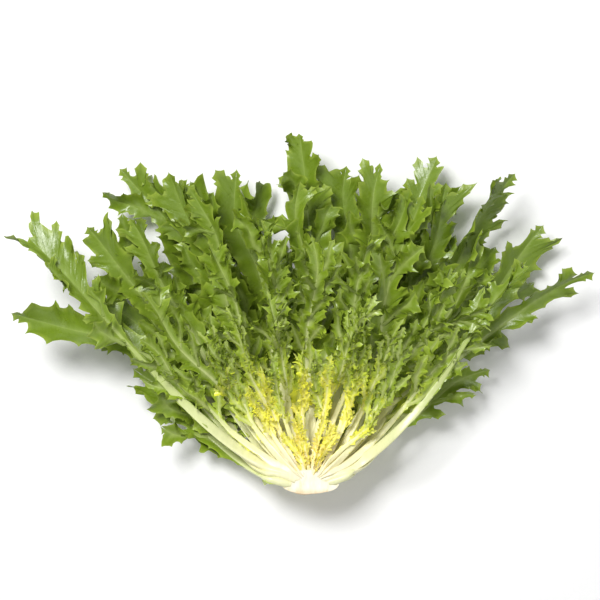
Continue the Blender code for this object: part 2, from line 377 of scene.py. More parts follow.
CURL_FROM = 0.75  # share of the way to its notches from which a lobe curls


def key(place, foot, lobe, vein):
    """A tooth or a notch of a margin: its place (along the rib, out from it), its vein's foot on the rib, its
    lobe's sweep, length, foot, curl, lift and twist, its vein's strength, its lobe's tone and where that
    begins to curl."""
    return (
        *place, foot, lobe.sweep, lobe.long, lobe.foot, lobe.curl, lobe.lift, lobe.twist, vein, lobe.tone,
        CURL_FROM * lobe.depth / lobe.long,
    )


LOBES_FROM = 0.03  # share of the leaf at which lobes begin if it had no bare part,
LOBES_BARE = 0.5  # and the share of its bare part that has none
OPENING = (-0.04, 0.16)  # shares beside the end of the bare part where the blade opens
TIP_ZONE = (0.8, 0.98)  # shares of the leaf where it turns into its tip
TIP_FINGERS = 0.45  # how many more of the lobes are long there,
TIP_CLOSER = 0.3  # how much closer they stand,
TIP_SWEPT = 0.45  # how much more they point forwards,
TIP_NARROWER = 0.1  # how much narrower the blade is,
TIP_STEADIER = 0.5  # and how much less the lobes' angles vary
SHORT_ROOM = 0.55  # room of a short lobe, as a share of a long one's
ROOM_VARIES = (0.55, 1.6)
END_ROOM = 0.3  # share of a lobe's room that the leaf's end keeps free
WING_LEAST = 0.35 * MM
SWELL_WAVES, SWELL = 0.22, 0.45  # waves of the blade's width along the leaf
FINGER_VARIES = (0.6, 1.4)
TOOTH_LEAST, TOOTH_VARIES = 0.3, 1.5
SWEEP_FOOT, SWEEP_LESS, SWEEP_VARIES = 64, 14, 13  # degrees from the rib: at the foot, less at the tip
DEPTH_MOST = 1.5  # longest way of a slanting lobe through the wing, in wing widths
SMALL_SHARE = 0.3  # a lobe's size and curl where the blade isn't open
TOOTHED_FROM = 0.2  # how open the blade is where long lobes get side teeth
LEAN = 0.2  # how far all lobes of a side twist together


def lobes_of(style, length, rng):
    """The teeth and fingers of one side of a leaf, as they follow each other along its rib."""
    found = []
    foot = (LOBES_FROM + LOBES_BARE * style.bare) * length
    lean = rng.uniform(-1, 1)
    swell = waves(rng, SWELL_WAVES)
    room = 0.0
    while True:
        share = foot / length
        opened = float(step(style.bare + OPENING[0], style.bare + OPENING[1], share))
        tip = float(step(*TIP_ZONE, share))
        long_one = rng.random() < style.fingers * opened + TIP_FINGERS * tip
        own_room = style.gap * (1.0 if long_one else SHORT_ROOM) * rng.uniform(*ROOM_VARIES)
        own_room *= 1 - TIP_CLOSER * tip
        foot += (room + own_room) / 2 if found else 0.0
        room = own_room
        if foot > length - END_ROOM * room:
            return found
        wing = WING_LEAST + style.wing * opened * (1 + SWELL * float(swell(share))) * (1 - TIP_NARROWER * tip)
        if long_one:
            out = style.finger * rng.uniform(*FINGER_VARIES)
        else:
            out = style.tooth * (TOOTH_LEAST + TOOTH_VARIES * rng.random() ** 2)
        angle = (SWEEP_FOOT - SWEEP_LESS * share) * (1 - TIP_SWEPT * tip)
        sweep = math.radians(angle + rng.uniform(-SWEEP_VARIES, SWEEP_VARIES) * (1 - TIP_STEADIER * tip))
        size = SMALL_SHARE + (1 - SMALL_SHARE) * opened
        lobe = SimpleNamespace(
            foot=foot, room=room, opened=opened, sweep=sweep,
            depth=wing * min(1 / math.sin(sweep), DEPTH_MOST),
            teeth=style.teeth if long_one and opened > TOOTHED_FROM else 0,
            curl=style.curl[0] * opened + style.curl[1] * rng.normal(0, VARIES) * size,
            lift=style.lift * rng.normal(0, VARIES) * opened,
            twist=style.twist * rng.normal(0, VARIES) + LEAN * lean,
            tone=rng.uniform(0, 1),
        )
        lobe.long = lobe.depth + out * size
        found.append(lobe)


END_SWEEP, END_DEPTH, END_CURL = 0.03, 0.3, 0.4  # the lobe at the leaf's end: its angle, depth and curl
END_WIDE, END_BACK = 0.5 * MM, 0.3 * MM  # how far from the end the last but one ends, and the last begins
NOTCH_MOST = 0.75  # share of the shorter lobe beside it up to which a notch lies
NOTCH_OUT = 0.15  # how far out it is moved, as a share of the lobes' necks


def margin(style, length, tip_long, tip_tone, rng):
    """The keys of one side of a leaf."""
    lobes = lobes_of(style, length, rng)
    first = max(lobes[0].foot - lobes[0].room, 0.0)
    keys = [key((first, 0.1 * MM), first, lobes[0], 0.0)]
    end = SimpleNamespace(
        foot=length, opened=1.0, sweep=END_SWEEP, depth=END_DEPTH * tip_long, teeth=style.teeth,
        curl=END_CURL, lift=0.0, twist=0.0, tone=tip_tone, long=tip_long,
    )
    for lobe, following in zip(lobes, [*lobes[1:], end]):
        low, high = lobe.foot - lobe.room / 2, min(lobe.foot + lobe.room / 2, length - END_WIDE)
        keys.extend(lobe_keys(lobe, low, high, style, rng))
        mean = (lobe.sweep + following.sweep) / 2
        depth = min((lobe.depth + following.depth) / 2, NOTCH_MOST * min(lobe.long, following.long))
        notch = (high + math.cos(mean) * depth, math.sin(mean) * depth + NOTCH_OUT * style.neck)
        keys.append(key(notch, high, lobe, 0.0))
    keys.extend(lobe_keys(end, length - END_BACK, length, style, rng, half=True))
    return np.array(keys)


NECK_LEAST = 0.4  # a lobe's neck where the blade isn't open, as a share
NECK_TAPER = 0.5  # how much narrower it is at its tip
TEETH_START, TEETH_END = 0.25, 0.3  # how far a lobe's side teeth keep from its notch and its tip, in teeth
DIP_AT = 0.42  # where the notch between two side teeth is
SPUR_OUT, SPUR_ON = 0.85, 0.1  # how far a side tooth stands out and leans on, as shares of its spur
DIP_WIDE = 0.8  # width left at the notch between them, as a share
SPUR_BACK, SPUR_FRONT = (0.3, 1.3), (0.2, 1.2)  # how the teeth on a lobe's two sides vary
SPUR_VEIN = 0.45
VEIN_STEP = 0.02 * MM  # on the rib, from a tooth's vein to its notch's


def lobe_keys(lobe, low, high, style, rng, half=False):
    """A lobe's side teeth, tip and notches. half keeps the side towards the leaf's foot, as at its end."""
    out = np.array([math.cos(lobe.sweep), math.sin(lobe.sweep)])
    back = np.array([-out[1], out[0]])
    origin = np.array([lobe.foot, 0.0])
    neck = style.neck * (NECK_LEAST + (1 - NECK_LEAST) * lobe.opened)

    def place(far, spread):
        return origin + out * far + back * spread

    def width(far):
        return neck * (1 - NECK_TAPER * far / lobe.long)

    free = lobe.long - lobe.depth
    far = [lobe.depth + free * (t + TEETH_START) / (lobe.teeth + TEETH_END) for t in range(lobe.teeth)]
    dips = [a + (b - a) * DIP_AT for a, b in zip(far, [*far[1:], lobe.long])]

    def side_tooth(t, foot, facing, varies):
        spur = style.spur * rng.uniform(*varies)
        tooth = place(far[t] + SPUR_ON * spur, facing * (width(far[t]) + SPUR_OUT * spur))
        dip = place(dips[t], facing * DIP_WIDE * width(dips[t]))
        return [key(tooth, foot, lobe, SPUR_VEIN), key(dip, foot + facing * VEIN_STEP, lobe, 0.0)]

    keys = []
    for t in range(lobe.teeth):
        foot = low + (lobe.foot - low) * (t + 1) / (lobe.teeth + 1)
        keys.extend(side_tooth(t, foot, 1, SPUR_BACK))
    keys.append(key(place(lobe.long, 0.0), lobe.foot, lobe, 1.0))
    if half:
        return keys
    for t in reversed(range(lobe.teeth)):
        foot = high - (high - lobe.foot) * (t + 1) / (lobe.teeth + 1)
        keys.extend(reversed(side_tooth(t, foot, -1, SPUR_FRONT)))
    return keys


NOTCH_PULL = 0.75  # how round the notches are


def outline(keys, count):
    """The margin's keys with count points between each two: teeth stay sharp and notches get round."""
    rows = [keys[0]]
    for i in range(len(keys) - 1):
        a, b = keys[i], keys[i + 1]
        notch_first = i % 2 == 0
        notch, tooth = (a, b) if notch_first else (b, a)
        n = i if notch_first else i + 1
        run = keys[min(n + 1, len(keys) - 1), :2] - keys[max(n - 1, 0), :2]
        run = run / max(np.linalg.norm(run), 1e-9)
        pull = NOTCH_PULL * abs(float(np.dot(tooth[:2] - notch[:2], run)))
        bend = notch[:2] + run * (pull if notch_first else -pull)
        for v in np.arange(1, count + 1) / count:
            row = a + (b - a) * v
            row[:2] = a[:2] * (1 - v) ** 2 + bend * 2 * v * (1 - v) + b[:2] * v * v
            rows.append(row)
    return np.array(rows)


# ---- a leaf's surfaces

CURL_POWER = 1.4
LIFTED_BY = 0.5  # share of a lobe's free length by which it has lifted in full
GAUSS_POINTS = 8


def sweep_up(share, curl, lift, start):
    """How far a lobe that curls from start on has gone outwards and upwards at a share of its length, and its
    angle there."""

    def angle_at(x):
        x = np.maximum(x - start, 0.0) / (1 - start)
        return curl * x**CURL_POWER + lift * step(0.0, LIFTED_BY, x)

    nodes, weights = np.polynomial.legendre.leggauss(GAUSS_POINTS)
    nodes, weights = (nodes + 1) / 2, weights / 2
    share = np.maximum(share, 0.0)
    out, up = np.zeros_like(share), np.zeros_like(share)
    for node, weight in zip(nodes, weights):
        angle = angle_at(share * node)
        out += weight * share * np.cos(angle)
        up += weight * share * np.sin(angle)
    return out, up, angle_at(share)


def sheet_faces(count, wide, mirrored):
    """The faces of a closed sheet whose two skins share their outer row: count stations long, wide across."""
    i, k = np.meshgrid(np.arange(count - 1), np.arange(wide - 1), indexing="ij")
    i, k = i.ravel(), k.ravel()
    upper = np.arange(count * wide).reshape(count, wide)
    under = np.empty_like(upper)
    under[:, :-1] = count * wide + np.arange(count * (wide - 1)).reshape(count, wide - 1)
    under[:, -1] = upper[:, -1]
    quads = np.stack([upper[i, k], upper[i, k + 1], upper[i + 1, k + 1], upper[i + 1, k]], 1)
    lower = np.stack([under[i, k], under[i + 1, k], under[i + 1, k + 1], under[i, k + 1]], 1)
    j = np.arange(count - 1)
    inner = np.stack([upper[j, 0], upper[j + 1, 0], under[j + 1, 0], under[j, 0]], 1)
    faces = [quads, lower, inner]
    for ray, turn in ((0, 1), (count - 1, -1)):
        m = np.arange(wide - 2)
        wall = np.stack([upper[ray, m], under[ray, m], under[ray, m + 1], upper[ray, m + 1]], 1)
        faces.append(wall[:, ::turn])
        last = [upper[ray, wide - 2], under[ray, wide - 2], upper[ray, wide - 1]]
        faces.append(np.array([last[::turn]]))
    return [f[:, ::-1] for f in faces] if mirrored else faces


def tube_faces(rows, around, mirrored=False):
    """The faces of a closed tube: rings of points round it and a cap at either end."""
    i, k = np.meshgrid(np.arange(rows - 1), np.arange(around), indexing="ij")
    i, k = i.ravel() * around, k.ravel()
    n = (k + 1) % around
    quads = np.stack([i + k, i + n, i + around + n, i + around + k], 1)
    first = np.arange(around)[None, :]
    last = (rows - 1) * around + first
    if mirrored:
        return [quads[:, [0, 3, 2, 1]], first, last[:, ::-1]]
    return [quads, first[:, ::-1], last]


SHEET = 0.42 * MM  # a blade's thickness at the rib,
SHEET_THINS = 0.35  # and what it loses by the margin, where it closes
TIP_ROOM = 1.1  # room of the leaf's last lobe, times its length
VEIN_ALONG, VEIN_ACROSS = 0.55, 0.15  # how a vein bends on its way out from the rib
FOLDS = (0.2, 0.6)  # shares of the leaf between which it folds,
UNFOLDS, UNFOLDED = (0.94, 1.0), 0.9  # where it flattens at its tip, and how far
RIB_COVERS, RIB_ENDS = 0.7, (0.8, 0.94)  # how far out on the rib a blade starts, and where it closes over it
RUFFLES, CRINKLES = 8.0 * MM, 5.0 * MM  # shortest waves of the blade, and finer ones,
CRINKLE = 0.12  # how high these are against the others,
RUFFLE_EDGE, EDGE_MOST = 1.4, 1.2  # and how they grow towards the margin
VEIN_FADES, VEIN_SHOWS = 0.6, 0.12  # what a vein loses by the margin, and how much shows
MIDRIB_SHOWS, MIDRIB_WIDE = 0.4, 0.7 * MM  # the paler blade beside the rib


def blade(spine, style, side, rng, tip_long, tip_tone):
    """One side of a leaf's blade: (points, faces, attributes) of a closed thin sheet with lobes and teeth."""
    between, rings = style.sides
    rows = outline(margin(style, spine.length - TIP_ROOM * tip_long, tip_long, tip_tone, rng), between)
    place, reach, foot, sweep, long, own, curl, lift, twist, vein, tone, start = (c[:, None] for c in rows.T)
    u = np.linspace(0, 1, rings + 1)[None, :]
    far = (place - foot) * np.cos(sweep) + reach * np.sin(sweep)
    off = -(place - foot) * np.sin(sweep) + reach * np.cos(sweep)
    a = 2 * u * (1 - u) * VEIN_ALONG * far + u * u * far
    b = 2 * u * (1 - u) * VEIN_ACROSS * off + u * u * off
    point, along, across, face = (v[:, None, :] for v in spine.at(foot[:, 0]))
    share = foot / spine.length
    fold = (style.fold * step(*FOLDS, share) * (1 - UNFOLDED * step(*UNFOLDS, share)))[..., None]
    beyond = np.maximum(a / long - start, 0.0) / (1 - start)
    sweep3, theta = sweep[..., None], (twist * beyond)[..., None]
    outward = np.cos(fold) * across * side + np.sin(fold) * face
    upward = np.cos(fold) * face - np.sin(fold) * across * side
    out = np.cos(sweep3) * along + np.sin(sweep3) * outward
    back = -np.sin(sweep3) * along + np.cos(sweep3) * outward
    gone, risen, angle = sweep_up(a / long, curl + 0 * a, lift, start)
    angle = angle[..., None]
    normal = np.cos(angle) * upward - np.sin(angle) * out
    lobe_b = (b - (foot - own) * np.sin(sweep))[..., None]
    base_b = lobe_b - b[..., None]
    beside = RIB_COVERS * rib_half(style, share) * (1 - step(*RIB_ENDS, share))
    points = point + outward * beside[..., None]
    points = points + out * (gone * long)[..., None] + upward * (risen * long)[..., None]
    points = points + back * (lobe_b * np.cos(theta) - base_b) + normal * lobe_b * np.sin(theta)
    normal = np.cos(theta) * normal - np.sin(theta) * back
    flat_s = foot + a * np.cos(sweep) - b * np.sin(sweep)
    flat_w = a * np.sin(sweep) + b * np.cos(sweep)
    edge = np.clip(flat_w / (style.wing + style.finger), 0, EDGE_MOST)
    ruffle = waves(rng, RUFFLES)(flat_s) * edge**RUFFLE_EDGE
    ruffle = ruffle + CRINKLE * waves(rng, CRINKLES)(flat_s + flat_w) * edge
    points = points + normal * (style.ruffle * ruffle)[..., None]
    thick = SHEET * (1 - SHEET_THINS * u) * (1 - u**6) + 0 * a
    top = points + normal * thick[..., None] / 2
    low = points - normal * thick[..., None] / 2
    vein = vein * (1 - VEIN_FADES * u) + 0 * a
    midrib = np.exp(-flat_w / MIDRIB_WIDE) * MIDRIB_SHOWS
    facts = {
        "vein": np.clip(np.maximum(VEIN_SHOWS * vein, midrib), 0, 1),
        "edge": u + 0 * a,
        "tone": tone + 0 * a,
    }
    points = np.concatenate([top.reshape(-1, 3), low[:, :-1].reshape(-1, 3)])
    facts = {name: np.concatenate([v.ravel(), v[:, :-1].ravel()]) for name, v in facts.items()}
    return points, sheet_faces(*a.shape, side < 0), facts


RIB_POWER, FLARE_BY = 1.4, 0.17  # how a rib tapers, and the share where its foot's flare ends


def rib_half(style, share):
    """Half a rib's width at a share of its leaf's length."""
    half = style.rib_tip + (style.rib - style.rib_tip) * (1 - np.clip(share, 0, 1)) ** RIB_POWER
    return half * (1 + style.flare * (1 - step(0.0, FLARE_BY, share)))


RIB_ROOT, RIB_ROOT_BY = 0.3, 0.06  # a rib's width at its root, as a share, and where it is full
RIB_DEEP, RIB_SLIM, RIB_MOST = 0.75, 0.25, 0.8  # its depth, the loss towards the tip, and the most
RIB_TOP = 0.38  # height of its upper face,
RIB_CUP, RIB_CUP_WIDE = 0.3, 0.45  # and depth and width of the channel in it
RIDGES, RIDGE, RIDGE_WAVES = 5, 0.05, 0.3  # ridges along it: how many, how high, and their waves
RIB_PROUD, RIB_RAISED = 0.12 * MM, 0.2  # how far it stands out of the blade
RIB_FADES = 0.55  # how much of its paleness it loses by its tip


def rib(spine, style, rng, shorter, stations=56, around=10):
    """A leaf's rib: thick and cupped at the foot, a thread at the tip."""
    share = np.linspace(0, 1 - shorter / spine.length, stations) ** 0.9
    point, along, across, face = spine.at(share * spine.length)
    half = rib_half(style, share) * (RIB_ROOT + (1 - RIB_ROOT) * step(0.0, RIB_ROOT_BY, share))
    deep = np.minimum(half * (RIB_DEEP - RIB_SLIM * share), RIB_MOST * style.rib)
    angle = np.arange(around) / around * 2 * math.pi
    x = np.cos(angle)[None, :] * half[:, None]
    cup = np.exp(-((np.cos(angle) / RIB_CUP_WIDE) ** 2))
    top = RIB_TOP - RIB_CUP * cup[None, :] * (1 - share)[:, None]
    y = np.where(np.sin(angle) > 0, top * np.sin(angle), np.sin(angle)) * deep[:, None]
    y = y + RIB_PROUD + RIB_RAISED * half[:, None]
    ridges = 1 + RIDGE * np.sin(RIDGES * angle[None, :] + 2 * waves(rng, RIDGE_WAVES)(share)[:, None])
    points = point[:, None] + across[:, None] * (x * ridges)[..., None] + face[:, None] * y[..., None]
    facts = {
        "vein": np.repeat((1 - RIB_FADES * share) * style.pale, around),
        "edge": np.zeros(stations * around),
        "tone": np.full(stations * around, 0.5),
    }
    return points.reshape(-1, 3), tube_faces(stations, around), facts


CUT_WHORLS = ("outer", "second", "third")  # whose feet the cut goes through
CUT_ZONE = (26 * MM, 46 * MM)  # from the crown, how far feet are level with it in full, and how far at all
CUT_SHARE = 0.8  # how much of what stands out of the cut is taken off


def level_with_cut(points, crown):
    """Brings down what stands out of the cut plane at a leaf's foot beside the core."""
    far = np.linalg.norm((points - crown)[:, :2], axis=1)
    above = np.maximum(points[:, 2] - crown[2], 0.0)
    points[:, 2] -= CUT_SHARE * (1 - step(*CUT_ZONE, far)) * above


FLOOR_GAP = 0.4 * MM
EASE_LOW = 3.0 * MM  # height over the floor below which points are eased up,
EASE_HIGH = 50.0 * MM  # the height above which they are eased down,
EASE_MOST = 14.0 * MM  # and how far above that they get at most


def ease(points):
    """Eases the points near or below the floor up onto it, and the highest ones down."""
    z = points[:, 2] - FLOOR_GAP
    z = np.where(z > EASE_LOW, z, EASE_LOW * np.exp(np.minimum((z - EASE_LOW) / EASE_LOW, 0)))
    over = EASE_MOST * (1 - np.exp(-np.maximum(z - EASE_HIGH, 0) / EASE_MOST))
    points[:, 2] = FLOOR_GAP + np.where(z < EASE_HIGH, z, EASE_HIGH + over)


SHARP = math.radians(75)


def build(name, parts, material, finish=None):
    """One mesh object from closed (points, faces, attributes) parts. finish moves points, adds attributes."""
    points, faces, facts, start = [], [], {}, 0
    for found, found_faces, found_facts in parts:
        points.append(found)
        for group in found_faces:
            faces.extend((group + start).tolist())
        for fact, values in found_facts.items():
            facts.setdefault(fact, []).append(values)
        start += len(found)
    points = np.concatenate(points)
    facts = {fact: np.concatenate(values) for fact, values in facts.items()}
    if finish:
        facts.update(finish(points, facts))
    mesh = bpy.data.meshes.new(name)
    mesh.from_pydata(points.tolist(), [], faces)
    mesh.polygons.foreach_set("use_smooth", [True] * len(mesh.polygons))
    mesh.set_sharp_from_angle(angle=SHARP)
    for fact, values in facts.items():
        layer = mesh.attributes.new(fact, "FLOAT", "POINT")
        layer.data.foreach_set("value", values.astype(np.float32))
    mesh.update()
    made = bpy.data.objects.new(name, mesh)
    scene.collection.objects.link(made)
    made.data.materials.append(material)
    return made


# ---- materials


def linear(red, green, blue):
    """A display colour, 0 to 255, as scene light."""
    values = []
    for value in (red, green, blue):
        value /= 255
        values.append(value / 12.92 if value <= 0.04045 else ((value + 0.055) / 1.055) ** 2.4)
    return (*values, 1.0)


class Nodes:
    """A material's nodes, made and linked in one call each."""

    def __init__(self, name):
        self.material = bpy.data.materials.new(name)
        self.material.use_nodes = True
        self.tree = self.material.node_tree

    def fill(self, sockets, values):
        """Links or sets some input sockets."""
        for name, value in values.items():
            if isinstance(value, bpy.types.NodeSocket):
                self.tree.links.new(value, sockets[name])
            else:
                sockets[name].default_value = value

    def new(self, kind, inputs, **settings):
        node = self.tree.nodes.new("ShaderNode" + kind)
        for name, value in settings.items():
            setattr(node, name, value)
        self.fill(node.inputs, inputs)
        return node

    def attribute(self, name):
        return self.new("Attribute", {}, attribute_name=name).outputs["Fac"]

    def noise(self, scale, detail, rough, stretch=None):
        place = self.new("TexCoord", {}).outputs["Object"]
        if stretch:
            place = self.new("Mapping", {"Vector": place, "Scale": stretch}).outputs["Vector"]
        inputs = {"Vector": place, "Scale": scale, "Detail": detail, "Roughness": rough}
        return self.new("TexNoise", inputs).outputs["Fac"]

    def ramp(self, value, stops):
        node = self.new("ValToRGB", {"Fac": value})
        elements = node.color_ramp.elements
        while len(elements) < len(stops):
            elements.new(0.5)
        for element, (at, colour) in zip(elements, stops):
            element.position = at
            element.color = linear(*colour)
        return node.outputs["Color"]

    def mix(self, share, first, second, kind="MIX"):
        inputs = {0: share, 6: first, 7: second}
        return self.new("Mix", inputs, data_type="RGBA", blend_type=kind).outputs[2]

    def span(self, value, low, high, to_low, to_high):
        inputs = {0: value, 1: low, 2: high, 3: to_low, 4: to_high}
        return self.new("MapRange", inputs).outputs["Result"]

    def sum(self, first, second, kind="ADD"):
        return self.new("Math", {0: first, 1: second}, operation=kind).outputs["Value"]

    def times(self, first, second):
        return self.sum(first, second, "MULTIPLY")

    def bump(self, height, strength, distance):
        inputs = {"Height": height, "Strength": strength, "Distance": distance}
        return self.new("Bump", inputs).outputs["Normal"]

    def finished(self, looks):
        """The material, with what its surface looks like."""
        self.fill(self.tree.nodes["Principled BSDF"].inputs, looks)
        return self.material


# Colours by ripeness, which grows from the crown outwards; in the outer whorls it is raised partly for their
# real deeper green and partly as painted shade.
BLADE_COLOURS = [
    (0.0, (255, 240, 176)),
    (0.05, (255, 236, 92)),
    (0.13, (255, 249, 84)),
    (0.22, (246, 244, 66)),
    (0.3, (204, 218, 58)),
    (0.4, (158, 182, 44)),
    (0.56, (128, 154, 32)),
    (1.0, (110, 135, 28)),
]
RIB_COLOURS = [
    (0.0, (255, 245, 216)),
    (0.2, (253, 246, 204)),
    (0.45, (236, 239, 184)),
    (0.7, (196, 210, 130)),
    (1.0, (150, 174, 84)),
]
RIM_COLOUR = linear(186, 204, 84)
STREAK_COLOUR = linear(206, 214, 150)
DULLING = (0.84, 0.9, 0.72, 1.0)  # what the fine mottling multiplies the blade's colour by
MIDDLE = (0.3, 0.7)  # the range in which most of a noise lies
MOTTLES, FINE_MOTTLES, STREAKS, BLISTERS, GRAIN = 160.0, 900.0, 420.0, 240.0, 700.0  # noise scales
MOTTLE_SHIFT, TONE_SHIFT = 0.05, 0.035  # how far a mottle and a lobe's tone shift the ripeness
GLOSS, GLOSS_LESS, GLOSS_MORE = 0.33, 0.07, 0.09  # the surface's roughness and how it varies
COAT, COAT_ROUGH = 0.15, 0.22
BLISTER_HIGH, VEIN_SUNK = 1.6, -0.5  # heights against the grain's


def leaf_material(name):
    """Leaf from its cream foot to its green blade, with pale ribs and veins, mottling and a waxy gloss."""
    nodes = Nodes(name)
    ripe = nodes.attribute("ripe")
    vein = nodes.attribute("vein")
    tone = nodes.attribute("tone")
    mottle = nodes.noise(MOTTLES, 4.0, 0.65)
    shifted = nodes.sum(ripe, nodes.span(mottle, *MIDDLE, -MOTTLE_SHIFT, MOTTLE_SHIFT))
    shifted = nodes.sum(shifted, nodes.span(tone, 0.0, 1.0, -TONE_SHIFT, TONE_SHIFT))
    blade_colour = nodes.ramp(shifted, BLADE_COLOURS)
    fine = nodes.noise(FINE_MOTTLES, 3.0, 0.7)
    dull = nodes.times(nodes.span(fine, 0.35, 0.75, 0.0, 0.5), nodes.span(ripe, 0.22, 0.5, 0.1, 1.0))
    blade_colour = nodes.mix(dull, blade_colour, DULLING, "MULTIPLY")
    rim = nodes.span(nodes.attribute("edge"), 0.7, 1.0, 0.0, 0.35)
    rim = nodes.times(rim, nodes.span(ripe, 0.3, 0.5, 0.0, 1.0))
    blade_colour = nodes.mix(rim, blade_colour, RIM_COLOUR)
    rib_colour = nodes.ramp(ripe, RIB_COLOURS)
    streaks = nodes.noise(STREAKS, 2.0, 0.5, (1.0, 0.25, 1.0))
    rib_colour = nodes.mix(nodes.span(streaks, 0.4, 0.7, 0.0, 0.25), rib_colour, STREAK_COLOUR)
    blisters = nodes.times(nodes.noise(BLISTERS, 2.0, 0.5), BLISTER_HIGH)
    skin = nodes.sum(nodes.noise(GRAIN, 3.0, 0.6), blisters)
    height = nodes.sum(skin, nodes.times(vein, VEIN_SUNK))
    looks = {
        "Base Color": nodes.mix(vein, blade_colour, rib_colour),
        "Roughness": nodes.span(mottle, *MIDDLE, GLOSS - GLOSS_LESS, GLOSS + GLOSS_MORE),
        "Coat Weight": COAT,
        "Coat Roughness": COAT_ROUGH,
        "Normal": nodes.bump(height, 0.5, 0.35 * MM),
    }
    return nodes.finished(looks)


FLESH_COLOURS = [(0.3, (238, 222, 168)), (0.48, (252, 244, 216)), (0.7, (255, 251, 236))]
BUTT_COLOURS = [(0.3, (226, 194, 140)), (0.5, (246, 224, 184)), (0.7, (254, 240, 212))]


def core_material():
    """The cut stump: near-white flesh with faint fibres, a tan, dried butt, and sides that turn tan further
    below the cut.
    """
    nodes = Nodes("core_flesh")
    butt = nodes.attribute("butt")
    fibres = nodes.noise(260.0, 4.0, 0.65, (1.0, 0.3, 1.0))
    blotch = nodes.noise(90.0, 3.0, 0.6)
    flesh = nodes.ramp(nodes.sum(fibres, nodes.span(blotch, *MIDDLE, -0.12, 0.12)), FLESH_COLOURS)
    dried = nodes.ramp(fibres, BUTT_COLOURS)
    rough = nodes.span(fibres, *MIDDLE, 0.42, 0.62)
    normal = nodes.bump(fibres, 0.45, 0.4 * MM)
    return nodes.finished({"Base Color": nodes.mix(butt, flesh, dried), "Roughness": rough, "Normal": normal})


def floor_material():
    """Pale matt paper."""
    nodes = Nodes("floor_paper")
    paper = nodes.ramp(nodes.noise(400.0, 3.0, 0.6), [(0.0, (248, 248, 248)), (1.0, (252, 252, 252))])
    return nodes.finished({"Base Color": paper, "Roughness": 0.9})


# ---- the core

CORE_ROWS, CORE_AROUND, CORE_LID = 26, 44, 13
CORE_SHARES = [0, 0.03, 0.1, 0.28, 0.46, 0.64, 0.78, 0.89, 0.97, 1.0]  # from the leaves to the butt,
CORE_HALVES = [0.05, 0.28, 0.52, 0.68, 0.76, 0.75, 0.68, 0.53, 0.33, 0.15]  # and the half widths there
CORE_ROUGH, CORE_ROUGH_ZONE = 0.035, (0.6, 0.95)
BUTT_RAGGED, BUTT_RAGGED_ZONE = 0.9 * MM, (0.8, 1.0)
CUT_DENTS = 0.25 * MM
# the last value makes the sides tan in step with their depth below the cut face
BUTT_ZONE, BUTT_DRIED, SIDE_TAN = (0.72, 0.98), 0.8, 0.35


def core_piece(crown):
    """The halved stump: a lathed body with a flat cut face and a ragged, dried butt."""
    low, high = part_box("core")
    rng = np.random.default_rng(7)
    deep = high.z - low.z
    wide = (high.x - low.x) / 2
    t = np.linspace(0, 1, CORE_ROWS)
    y = high.y + (low.y - high.y) * t
    half = wide * np.interp(t, CORE_SHARES, CORE_HALVES)
    angle = np.linspace(0, math.pi, CORE_AROUND)
    rag = np.stack([waves(rng, 0.5)(angle + 3 * k) for k in range(CORE_ROWS)])
    rough = 1 + CORE_ROUGH * rag * step(*CORE_ROUGH_ZONE, t)[:, None]
    x = crown[0] + np.cos(angle)[None] * half[:, None] * rough
    z = high.z - np.sin(angle)[None] * (half * deep / wide)[:, None] * rough
    ragged = y[:, None] + BUTT_RAGGED * rag[-1][None] * step(*BUTT_RAGGED_ZONE, t)[:, None]
    shell = np.stack([x, ragged + 0 * x, z], -1)
    lid = np.linspace(0, 1, CORE_LID + 2)[1:-1]
    left, right = shell[:, -1], shell[:, 0]
    top = right[:, None] + (left - right)[:, None] * lid[None, :, None]
    top[..., 2] += CUT_DENTS * (waves(rng, 0.4)(lid)[None] * waves(rng, 0.5)(t)[:, None])
    points = np.concatenate([shell, top[:, ::-1]], 1).reshape(-1, 3)
    count = CORE_AROUND + CORE_LID
    depth = np.clip((high.z - points[:, 2]) / deep, 0, 1)
    # the sides turn tan the further they lie below the cut face
    butt = np.repeat(step(*BUTT_ZONE, t), count) * BUTT_DRIED + SIDE_TAN * depth
    faces = tube_faces(CORE_ROWS, count, mirrored=True)
    return build("core_cut", [(points, faces, {"butt": np.clip(butt, 0, 1)})], core_material())


# ---- the leaves

# A twig's measures as shares of its leaf's, and those that are the same on every twig.
TWIG_SHARES = dict(wing=0.65, tooth=0.75, finger=0.6, gap=0.65, spur=0.75, neck=0.75, rib=0.3, rib_tip=0.7)
TWIG_SAME = dict(bare=0.1, teeth=1, flare=0.0, pale=0.45)
TWIG_TIP, TWIG_RIB_SHORT = (0.9, 1.3), 0.5  # length of its end lobe, and how much of that its rib leaves
TWIG_RIB_STATIONS, TWIG_RIB_AROUND = 20, 6


def twig_parts(twig, style, rng):
    """A twig's rib and its two toothed margins."""
    shrunk = {name: share * vars(style)[name] for name, share in TWIG_SHARES.items()}
    small = SimpleNamespace(**{**vars(style), **shrunk, **TWIG_SAME, "sides": style.twig_sides})
    tip_long = rng.uniform(*TWIG_TIP) * small.finger
    tone = rng.uniform(0, 1)
    parts = [rib(twig, small, rng, TWIG_RIB_SHORT * tip_long, TWIG_RIB_STATIONS, TWIG_RIB_AROUND)]
    for side in (-1, 1):
        parts.append(blade(twig, small, side, rng, tip_long, tone))
    return parts


BROAD = 4 * MM  # half width from which a whorl's leaves bare their stalks towards the flanks
BARE_MIDDLE, BARE_FLANK = 0.5, 0.7
WING_MIDDLE, WING_FLANK = 1.4, 0.4
FEWER_TWIGS, FEWER_ZONE = 0.4, (0.55, 0.9)


